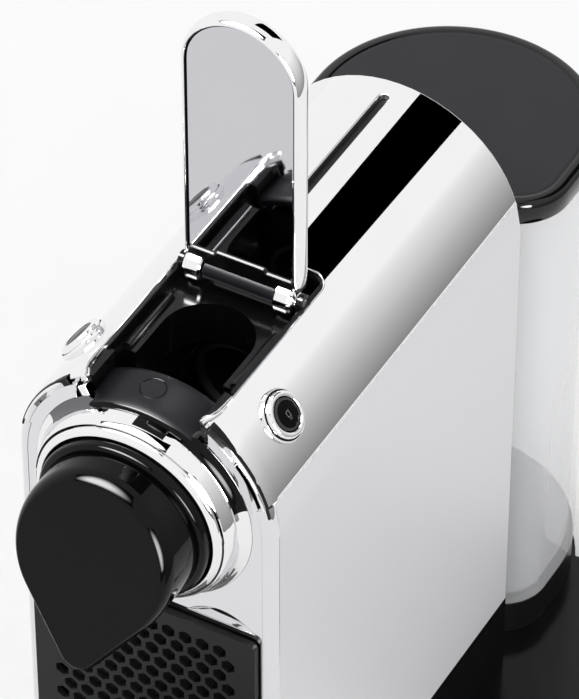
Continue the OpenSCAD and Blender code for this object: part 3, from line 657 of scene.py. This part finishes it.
# rounded corners down both sides
rows = [corner_row(0, skirt + (AXIS_Z - skirt) * i / 12) for i in range(13)]
rows += [corner_row(seam_deg * i / 5, AXIS_Z) for i in range(1, 6)]
for mirrored in (False, True):
    fascia.mirrored = mirrored
    for a, b in zip(rows, rows[1:]):
        for i in range(len(a) - 1):
            quad = (a[i], a[i + 1], b[i + 1], b[i])
            fascia.face([q[0] for q in quad], [q[1] for q in quad])
fascia.mirrored = False
# the finger scoop's hollow
rings = []
for s in [k / 5 for k in range(6)]:
    y = FRONT_Y + 0.3 + SCOOP_DEPTH * math.sin(s * math.pi / 2)
    rings.append([(x + (SCOOP_MIDDLE.x - x) * s, y, z + (SCOOP_MIDDLE.y - z) * s) for x, z in scoop])
loft(fascia, rings[::-1])
make("front_fascia_cover", fascia, (chrome_front,), "housing", ("front_fascia",))


# Painted shade: near-black grooves behind the edges of the front covers, standing for the shade in the gaps.
# Outlines round the neck are in (r, distance forward).

GROOVE = [(47, 96), (51.2, 96), (51.2, 99.9), (47, 99.9)]
grooves = Skin()
for start, stop in ((12, 59), (127, 168)):
    lathe(grooves, GROOVE, NECK, FORWARD, RIGHT, start, stop, 40)
make("front_gap_shade_paint", grooves, (groove_shade_paint,), "housing")


# Neck

BARREL_R, BARREL_Y = 39.75, 99
COVE = [(COVE_R, 97), (COVE_R, 100.95), (42.6, 101.15), (41.6, 101.7), (40.7, 102.6), (40.05, 103.6)]
LIP = [(39.5, 107.6), (39.0, 109.1), (38.6, 110.2), (38.2, 110.7)]
GROOVE_OUT, GROOVE_IN, GROOVE_FLOOR, GROOVE_DEEP = 37.95, 37.4, 110.75, 2.0
RING_FRONT = [(37.35, 111.4), (37.15, 111.75), (36.4, 112.3), (35.2, 113.0), (34.9, 113.05), (34.6, 112.8)]
COLLAR = [(31.2, 103), (33.8, 103), (33.8, 115.6), (33.6, 116.4), (33.1, 117), (32.2, 117.3), (31.2, 117.3)]


def barrel_profile(angle):
    """The neck's outline: a cove out of the front face, a rounded lip, a groove and the ring's front. The
    cove flattens towards the top, and the groove is deep on the upper flanks only."""
    a = angle % 360
    a = min(a, 180 - a)
    deep = ease(2, 12, a) * ease(72, 64, a) if a > 0 else 0
    flare = ease(65, 59, a) if a > 0 else 1
    floor = GROOVE_FLOOR - GROOVE_DEEP * deep
    flat = 0.6 + 0.4 * flare
    cove = [(BARREL_R + (r - BARREL_R) * flare, BARREL_Y + (h - BARREL_Y) * flat) for r, h in COVE]
    swell = [(BARREL_R, 104.5), (39.8 + 0.35 * deep, 104.5 + 0.1 * deep), (39.8 + 0.2 * deep, 106)]
    return [(34.6, 97), *cove, *swell, *LIP, (GROOVE_OUT, floor), (GROOVE_IN, floor), *RING_FRONT]


# material slots along the outline: 0 chrome, 1 painted shade inside the groove, 2 and 3 painted reflections
# on the cove and lip, black and dark grey chrome
plain = [0] * 14 + [1] + [0] * 7
cove_slots_black_reflection = [0, 0] + [2] * 5 + plain[7:]
lip_slots_black_reflection = [0, 0] + [2] * 8 + plain[10:]
cove_slots_grey_reflection = [0, 0] + [3] * 5 + plain[7:]
neck = Skin()
# the dark patches round the neck, at 16-65, 72-90 and 112-150 degrees, are painted reflections
for start, stop, steps, slots in ((16, 65, 49, cove_slots_black_reflection), (65, 72, 7, plain), (72, 90, 18, lip_slots_black_reflection),
                                  (90, 112, 24, plain), (112, 150, 36, cove_slots_grey_reflection), (150, 376, 180, plain)):
    lathe(neck, barrel_profile, NECK, FORWARD, RIGHT, start, stop, steps, slots=slots, caps=False, crease=42)
make("neck_cover", neck, (chrome, groove_shade_paint, black_reflection_paint, grey_reflection_paint), "housing",
     ("neck_sleeve", "neck_ring"))
collar = Skin()
lathe(collar, COLLAR, NECK, FORWARD, RIGHT, steps=128)
make("nozzle_collar", collar, (black_gloss,), "housing", ("nozzle_seal",))


# Nozzle head: a drop shape whose face leans, on a round disc

HEAD_R, TIP_R, TIP_Z = 31.0, 9.5, 196.5
HEAD_Y, TILT = -139.0, math.tan(math.radians(15.5))
HEAD_BACK = ((6, -119.4), (1.0, -119.4), (0.3, -119.5), (0, -119.9))
HEAD_DISC = [(6, 115.3), (30.4, 115.3), (31, 115.9), (31, 121), (6, 121)]
FILLET = 6.5
FILLET_IN = FILLET * 0.62


def drop_outline(inset):
    """The drop shape in (x, z): an arc round the axis, a small one at the tip and straight sides between."""
    r, t = HEAD_R - inset, max(TIP_R - inset, 0.6)
    lean = math.degrees(math.asin((r - t) / (AXIS_Z - TIP_Z)))
    crown = arc((0, AXIS_Z), r, -lean, 180 + lean, 96)
    tip = arc((0, TIP_Z), t, 180 + lean, 360 - lean, 24)
    return crown + between(crown[-1], tip[0], 12) + tip + between(tip[-1], crown[0], 12)


def head_ring(inset, back):
    """The drop shape on the leaning face, set back from it."""
    return [(x, HEAD_Y + TILT * (z - AXIS_Z) + back, z) for x, z in drop_outline(inset)]


turns = [math.radians(t) for t in range(0, 65, 8)]
last = turns[-1]
rings = [[(x, y, z) for x, z in drop_outline(inset)] for inset, y in HEAD_BACK]
rings += [head_ring(FILLET_IN * (1 - math.cos(t)), FILLET * (math.sin(last) - math.sin(t)) + 0.12)
          for t in turns]
rings += [head_ring(FILLET_IN * (1 - math.cos(last)) + 0.35, 0.0)]
head = Skin()
loft(head, rings, creases=(1, 3), last=0)
lathe(head, HEAD_DISC, NECK, FORWARD, RIGHT, steps=128)
make("nozzle_head_cover", head, (black_gloss,), "housing", ("nozzle_head",))


# Front lip of the capsule bay, with the small disc on it

SADDLE = [(38.9, 83), (41.6, 82.2), (42.1, 82.8), (42.35, 85), (42.35, 89.5), (42.25, 94), (42.05, 97.4),
          (41.7, 100), (41.2, 101.6), (40.6, 102.5), (39.9, 102.8), (39.2, 102.6)]
DISC = [(4.9, 0.1), (4.9, 0.35), (4.75, 0.45), (4.5, 0.34), (4.35, 0.32), (0.01, 0.36)]
DISC_AT, DISC_UP = (-1, -91, AXIS_Z + 42.1), (0, -0.06, 1)
saddle = Skin()
lathe(saddle, SADDLE, NECK, FORWARD, RIGHT, 55.6, 124.4, 72, slots=[0] * 8 + [1, 1, 1, 0])
lathe(saddle, DISC, DISC_AT, DISC_UP, RIGHT, steps=48, closed=False, slots=[1, 1, 1, 1, 0])
make("saddle_cover", saddle, (grey_satin, black_gloss), "housing", ("front_saddle",))


# Foot of the shell's edge, a rounded bead that closes the bay's front corners

# the middle of the bead as (x, y, height above the axis), and its radius there
BEAD_PATH = [(23.4, -100.2, 44.6), (24.0, -98.6, 44.9), (25.2, -96.2, 44.9), (26.0, -93.2, 44.75),
             (26.25, -90, 44.7), (26.3, -84, 44.7)]
BEAD_RADII = (1.15, 1.25, 1.2, 1.1, 0.95, 0.6)
CORNER_FILLER = [(43.2, 96.8), (47.4, 96.8), (47.4, 100.1), (46.9, 100.7), (43.8, 100.8), (43.2, 100.4)]
path = [Vector((x, y, AXIS_Z + z)) for x, y, z in BEAD_PATH]
turns = [math.tau * k / 16 for k in range(16)]
rings = []
for i, (p, r) in enumerate(zip(path, BEAD_RADII)):
    way = (path[min(i + 1, len(path) - 1)] - path[max(i - 1, 0)]).normalized()
    cross = way.cross(Vector(UP)).normalized()
    up = cross.cross(way)
    rings.append([p + (cross * math.cos(t) + up * math.sin(t)) * r for t in turns])
for side, mirrored in (("right", False), ("left", True)):
    bead_skin = Skin()
    bead_skin.mirrored = mirrored
    loft(bead_skin, rings, first=0, last=0)
    if mirrored:
        # fills the gap between the bead and the end of the left groove
        bead_skin.mirrored = False
        lathe(bead_skin, CORNER_FILLER, NECK, FORWARD, RIGHT, 118.6, 123.4, 8)
    make(f"bay_corner_bead_{side}", bead_skin, (chrome,), "housing")


# Buttons. Outlines are in (r, distance from the body's axis along the button).

BEZEL = [(8.2, 49), (8.3, 51), (9.6, 51), (9.8, 51.5), (9.8, 52.9), (9.6, 53.2), (9.3, 53.2), (9.15, 52.6),
         (8.75, 52.6), (8.7, 54.0), (8.45, 54.8), (7.9, 55.2), (7.4, 55.28), (6.85, 55.25), (6.45, 54.95),
         (6.32, 54.3), (6.3, 49)]
CAP = [(0.01, 46.5), (5.95, 46.5), (6.0, 54.8), (5.85, 55.15), (5.4, 55.3), (5.0, 55.26), (4.9, 55.05),
       (4.8, 55.0), (4.7, 55.15), (3.0, 55.35), (1.6, 55.42), (0.01, 55.45)]
ICON_UP, ICON_H = 55.38, 0.06
HANDLE_IN, HANDLE_OUT, HANDLE_X = 0.42, 0.66, 1.5


def cup_icon(skin, origin, up, height, slot):
    """A generic cup, drawn as a raised outline."""
    ahead = Vector(REARWARD)
    right = ahead.cross(up)
    loop = rounded([(-1.1, -height / 2, 0.35), (1.1, -height / 2, 0.35),
                    (1.3, height / 2, 0.1), (-1.3, height / 2, 0.1)], 4)
    sweep(skin, loop, [(0, 0), (0, ICON_H), (-0.28, ICON_H), (-0.28, 0)],
          lambda x, y, h: origin + right * x + ahead * y + up * h, slots=[slot] * 3)
    handle = [(HANDLE_IN, 0), (HANDLE_OUT, 0), (HANDLE_OUT, ICON_H), (HANDLE_IN, ICON_H)]
    lathe(skin, handle, origin + right * HANDLE_X, up, right, -80, 80, 10, slots=[slot] * 4)


for side, name, replaced, cup_height in ((-1, "left", ("button_bezels",), 1.3), (1, "right", (), 1.9)):
    up = Vector((side * math.sin(BUTTON_TILT), 0, math.cos(BUTTON_TILT)))
    origin = Vector((0, BUTTON_Y, AXIS_Z))
    bezel = Skin()
    # slot 1 darkens the groove between the bezel's two rings: painted shade
    lathe(bezel, BEZEL, origin, up, REARWARD, crease=48, slots=[0] * 6 + [1, 1] + [0] * 9)
    make(f"button_bezel_{name}_cover", bezel, (chrome, groove_shade_paint), "housing", replaced)
    cap = Skin()
    lathe(cap, CAP, origin, up, REARWARD, steps=72, slots=[0, 0, 1, 1, 1] + [0] * 7, crease=48)
    cup_icon(cap, origin + up * ICON_UP, up, cup_height, 2)
    make(f"button_cap_{name}", cap, (button_black, ring_grey, icon_grey), f"button_{name}",
         (f"button_{name}",))


# Lever, in its open pose: an upright tongue over a hinge

HINGE = Vector((0, -30.2, 276.5))
LEVER_HALF, LEVER_TOP, LEVER_Z0, LEVER_Y = 23.8, 393.0, 280.8, HINGE.y + 2.25
# outlines in (outset, distance forward of the tongue's middle)
BAR_EDGE, BAR_HALF = 2.0, 4.25
BAR_BACK = [(-1.85, 4.25), (-2.05, 4.15), (-2.2, 3.9), (-2.22, 1.85), (-6, 1.85)]
COVER_EDGE = [(0, 2.0), (0, 4.0), (-0.15, 4.25), (-0.5, 4.4)]
MIRROR_EDGE = [(0, 1.8), (0, 3.15), (-0.12, 3.32), (-0.4, 3.4)]
# outlines in (r, distance along the hinge)
KNUCKLE = [(1.6, 14.8), (5.3, 14.8), (6.0, 15.5), (6.0, 20.6), (5.1, 21.8), (3.2, 22.4), (2.8, 22.8),
           (1.6, 22.8)]
ROLLER = [(1.6, -14.5), (3.7, -14.5), (4.1, -14.1), (4.1, 14.1), (3.7, 14.5), (1.6, 14.5)]
# the blocks over the knuckles: their sides, and (front, rear, height) up them
BLOCK_IN, BLOCK_OUT = 15.2, 22.4
BLOCK = ((-31.9, -25.2, 277.5), (-32.1, -24.3, 281.2), (-32.1, -23.9, 282.4))


def tongue_outline(inset, z0):
    """The tongue in (x, z): straight up from z0 to a half circle."""
    r = LEVER_HALF - inset
    z1 = LEVER_TOP - LEVER_HALF
    return ([(-r, z0), (r, z0)] + between((r, z0), (r, z1), 12) + arc((0, z1), r, 0, 180, 72)
            + between((-r, z1), (-r, z0), 12))


def front_place(x, z, h):
    return Vector((x, LEVER_Y - h, z))


lever = Skin()
bar_edge = [(-2.2, -BAR_HALF)]
bar_edge += [(-BAR_EDGE + BAR_EDGE * math.cos(t), BAR_HALF * math.sin(t))
             for t in [math.radians(t) for t in range(-84, 85, 12)]] + BAR_BACK
tongue = rounded([(-LEVER_HALF, LEVER_Z0, 2.5), (LEVER_HALF, LEVER_Z0, 2.5)]
                 + [(x, z, 0) for x, z in tongue_outline(0, LEVER_Z0)[2:]], 5)
# slot 1 darkens the bar's inner step round the mirror and its back: painted shade
sweep(lever, tongue, bar_edge, front_place, crease=40, cap_first=0, cap_last=1,
      slots=[0] * (len(bar_edge) - 3) + [1, 1])
for side in (-1, 1):
    lathe(lever, KNUCKLE, HINGE, (side, 0, 0), FORWARD, steps=72, crease=20)
    x0, x1 = (BLOCK_IN, BLOCK_OUT) if side > 0 else (-BLOCK_OUT, -BLOCK_IN)
    rings = [[(x0, y0, z), (x1, y0, z), (x1, y1, z), (x0, y1, z)] for y0, y1, z in BLOCK]
    for a, b in zip(rings, rings[1:]):
        for i in range(4):
            quad = [Vector(p) for p in (a[i], a[(i + 1) % 4], b[(i + 1) % 4], b[i])]
            n = (quad[1] - quad[0]).cross(quad[3] - quad[0]).normalized()
            lever.face(quad, [n] * 4)
hinge_cover = Skin()
strip = rounded([(-21.3, 279.8, 0.8), (21.3, 279.8, 0.8), (21.3, 285.6, 1.2), (10.5, 285.6, 0.6),
                 (9.6, 287.0, 0.6), (-9.6, 287.0, 0.6), (-10.5, 285.6, 0.6), (-21.3, 285.6, 1.2)], 4)
sweep(hinge_cover, strip, COVER_EDGE, front_place, cap_first=0, cap_last=0)
make("lever_hinge_cover", hinge_cover, (bay_gloss,), "lever")
make("lever_bar", lever, (chrome, groove_shade_paint), "lever", ("lever_frame",))
mirror = Skin()
sweep(mirror, tongue_outline(2.75, LEVER_Z0 + 3.4), MIRROR_EDGE, front_place, cap_first=0, cap_last=0)
make("lever_mirror_plate", mirror, (mirror_face,), "lever", ("lever_mirror",))
roller = Skin()
lathe(roller, ROLLER, HINGE, RIGHT, FORWARD, steps=72)
make("lever_roller_cover", roller, (grey_satin,), "lever", ("lever_roller",))


# Water tank and its lid. Outlines are in (outset, z).

TANK_R, TANK_MIDDLE, TANK_FRONT, TANK_CORNER, TANK_CORNER_X = 55, 129, 96, 20, 35
VALVE_Y = 114.0
TANK = [(-2.2, 21), (-1.0, 21.15), (-0.3, 21.6), (0, 22.6), (0, 229.4), (-0.4, 229.9), (-2.1, 229.9),
        (-2.5, 229.4), (-2.5, 27), (-2.9, 25.2), (-3.9, 24.2), (-5.4, 24)]
OUTLET = [(5.6, 13), (7.2, 13), (7.2, 21), (5.6, 21)]
LID = [(-0.2, 230.2), (-0.2, 225.3), (0.9, 225), (1.6, 225.2), (2.0, 225.9), (2.0, 232.4), (1.75, 233.6),
       (1.1, 234.5), (0.1, 234.95), (-1.6, 235), (-2.9, 235), (-3.2, 234.75), (-3.6, 234.7), (-4.2, 234.85),
       (-4.6, 234.9)]


def upright(x, y, h):
    return Vector((x, y, h))


front_left, front_right = (-TANK_CORNER_X, TANK_FRONT), (TANK_CORNER_X, TANK_FRONT)
corner_y = TANK_FRONT + TANK_CORNER
tank_loop = arc((TANK_CORNER_X, corner_y), TANK_CORNER, -90, 0, 14)
tank_loop += arc((0, TANK_MIDDLE), TANK_R, 0, 180, 72)
tank_loop += arc((-TANK_CORNER_X, corner_y), TANK_CORNER, 180, 270, 14)
tank_loop += between(front_left, front_right, 6)
tank = Skin()
sweep(tank, tank_loop, TANK, upright, crease=50, cap_first=0, cap_last=0)
lathe(tank, OUTLET, (0, VALVE_Y, 0), UP, RIGHT, steps=48)
make("tank_body", tank, (clear_plastic,), "tank", ("tank_shell",))
lid = Skin()
sweep(lid, tank_loop, LID, upright, crease=42, slots=[1] * 11 + [0] * 3, cap_first=1, cap_last=0)
make("tank_lid_cover", lid, (lid_satin, lid_gloss), "tank_lid", ("tank_lid",))


# Camera

# the camera's direction from the target (azimuth and elevation) and its distance
CAM_AZ, CAM_EL, CAM_DIST = math.radians(29.17), math.radians(42.51), 1817.6
CAM_LENS, CAM_SENSOR = 256.4, 36.0
TARGET = Vector((0, 3.63, 216.29))


def aim(thing, at):
    thing.rotation_mode = "QUATERNION"
    thing.rotation_quaternion = (Vector(at) - thing.location).to_track_quat("-Z", "Y")


away = Vector((math.sin(CAM_AZ) * math.cos(CAM_EL), -math.cos(CAM_AZ) * math.cos(CAM_EL), math.sin(CAM_EL)))
camera_data = bpy.data.cameras.new("camera")
camera_data.lens, camera_data.sensor_width = CAM_LENS, CAM_SENSOR
camera = bpy.data.objects.new("camera", camera_data)
camera.location = (TARGET + away * CAM_DIST) * MM
aim(camera, TARGET * MM)
bpy.context.scene.collection.objects.link(camera)
bpy.context.scene.camera = camera
bpy.context.scene.view_settings.view_transform = "Standard"


# Floor and light

SQUARE = ((-1, -1), (1, -1), (1, 1), (-1, 1))
FLOOR_HALF = 6


def emitter(name, colour, strength):
    m = bpy.data.materials.new(name)
    m.use_nodes = True
    tree = m.node_tree
    tree.nodes.clear()
    glow = tree.nodes.new("ShaderNodeEmission")
    glow.inputs["Color"].default_value = (*colour, 1)
    glow.inputs["Strength"].default_value = strength
    out = tree.nodes.new("ShaderNodeOutputMaterial")
    tree.links.new(glow.outputs["Emission"], out.inputs["Surface"])
    return m


def card(name, centre, u, v, level):
    """A flat card that only reflections see, in millimetres. level is its brightness."""
    c, u, v = Vector(centre), Vector(u) / 2, Vector(v) / 2
    mesh = bpy.data.meshes.new(name)
    mesh.from_pydata([(c + u * a + v * b) * MM for a, b in SQUARE], [], [(0, 1, 2, 3)])
    mesh.materials.append(emitter(name, (1, 1, 1), level))
    made = bpy.data.objects.new(name, mesh)
    bpy.context.scene.collection.objects.link(made)
    made.visible_camera = made.visible_diffuse = made.visible_shadow = made.visible_transmission = False
    return made


def fade_card(name, centre, u, v, levels):
    """A card whose brightness changes with its height, from (place, level) pairs."""
    made = card(name, centre, u, v, 1.0)
    tree = made.data.materials[0].node_tree
    low, high = made.bound_box[0][2], made.bound_box[6][2]
    coords = tree.nodes.new("ShaderNodeTexCoord")
    split = tree.nodes.new("ShaderNodeSeparateXYZ")
    turn = tree.nodes.new("ShaderNodeMapRange")
    turn.inputs["From Min"].default_value, turn.inputs["From Max"].default_value = low, high
    ramp = tree.nodes.new("ShaderNodeValToRGB")
    while len(ramp.color_ramp.elements) < len(levels):
        ramp.color_ramp.elements.new(0.5)
    for element, (place, level) in zip(ramp.color_ramp.elements, levels):
        element.position = place
        element.color = (level, level, level, 1)
    tree.links.new(coords.outputs["Object"], split.inputs["Vector"])
    tree.links.new(split.outputs["Z"], turn.inputs["Value"])
    tree.links.new(turn.outputs["Result"], ramp.inputs["Fac"])
    tree.links.new(ramp.outputs["Color"], tree.nodes["Emission"].inputs["Color"])


def soft_card(name, centre, u, v, level):
    """A card that is brightest in the middle and fades to its edges."""
    made = card(name, centre, u, v, level)
    u, v = Vector(u) / 2, Vector(v) / 2
    n = u.cross(v).normalized() * u.length
    # its own axes span the card, so that the gradient's unit circle fits it
    made.data.clear_geometry()
    made.data.from_pydata([(a, b, 0) for a, b in SQUARE], [], [(0, 1, 2, 3)])
    place = Matrix((u * MM, v * MM, n * MM)).transposed().to_4x4()
    place.translation = Vector(centre) * MM
    made.matrix_world = place
    tree = made.data.materials[0].node_tree
    coords = tree.nodes.new("ShaderNodeTexCoord")
    fade = tree.nodes.new("ShaderNodeTexGradient")
    fade.gradient_type = "SPHERICAL"
    turn = tree.nodes.new("ShaderNodeMapRange")
    turn.interpolation_type = "SMOOTHSTEP"
    turn.inputs["From Max"].default_value = 0.75
    tree.links.new(coords.outputs["Object"], fade.inputs["Vector"])
    tree.links.new(fade.outputs["Fac"], turn.inputs["Value"])
    tree.links.new(turn.outputs["Result"], tree.nodes["Emission"].inputs["Color"])


world = bpy.data.worlds.new("studio")
world.use_nodes = True
world.node_tree.nodes["Background"].inputs["Color"].default_value = (1, 1, 1, 1)
world.node_tree.nodes["Background"].inputs["Strength"].default_value = 1.0
bpy.context.scene.world = world

floor_white = material("floor_white", (0.97, 0.97, 0.97), (0.6, 0.7), shade=0.005, Specular_IOR_Level=0.0)
floor_mesh = bpy.data.meshes.new("floor")
floor_mesh.from_pydata([(a * FLOOR_HALF, b * FLOOR_HALF, 0) for a, b in SQUARE], [], [(0, 1, 2, 3)])
floor_mesh.materials.append(floor_white)
floor = bpy.data.objects.new("floor", floor_mesh)
bpy.context.scene.collection.objects.link(floor)

# what the chrome reflects: a dark band from behind, a side that fades, softboxes above and on the right, and
# a dark card low on the right
card("band_flag", (168, 680, 980), (516, 0, 0), (0, -400, 400), 0.0)
fade_card("side_fade", (520, 500, 287.5), (0, 1500, 0), (0, 0, 575),
          [(0, 0.27), (0.25, 0.4), (0.41, 0.5), (0.56, 0.627), (0.73, 0.75), (0.89, 0.87), (1.0, 0.98)])
soft_card("overhead_softbox", (-480, -400, 1320), (1700, 0, 0), (0, 900, 0), 60.0)
soft_card("right_softbox", (944, -711, 520), (420, 665, 0), (0, 0, 1100), 42.0)
card("front_right_flag", (900, -500, 90), (700, 900, 0), (0, 0, 130), 0.12)
